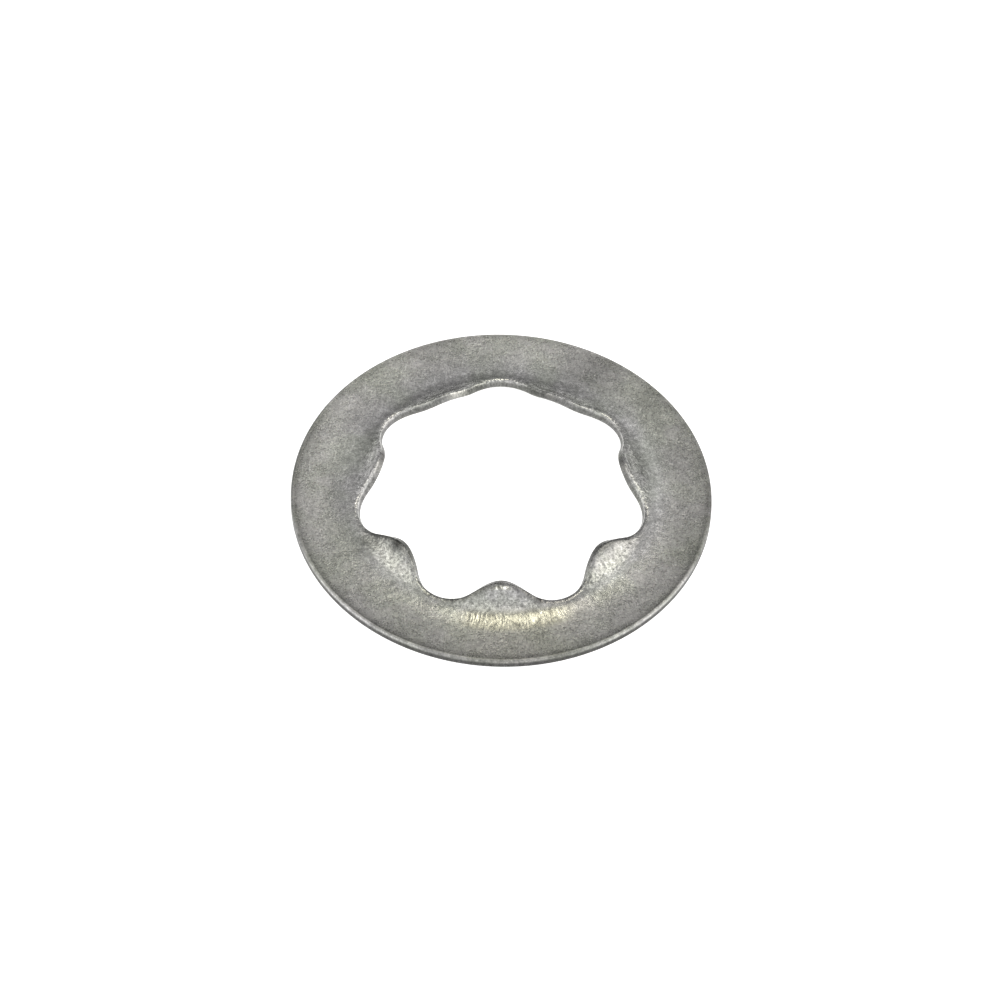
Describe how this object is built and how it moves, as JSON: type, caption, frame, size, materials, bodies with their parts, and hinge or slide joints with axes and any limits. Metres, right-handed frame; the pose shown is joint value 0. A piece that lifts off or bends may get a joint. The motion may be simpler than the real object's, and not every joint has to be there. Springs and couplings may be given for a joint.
{
  "type": "retainer washer",
  "caption": "Flat round flange of pressed sheet steel whose wavy hole has a raised, lobed lip that holds a washer or stud in place.",
  "frame": {"origin": "centre of the flange's flat underside", "axes": "+Z along the washer's axis, from the flange towards the raised lip; one lobe points along -Y"},
  "size_m": [0.0374, 0.0375, 0.0024],
  "materials": {
    "steel": "matte, tumbled, dull zinc grey"
  },
  "bodies": {
    "root": {"retainer_washer": "steel"}
  },
  "joints": []
}
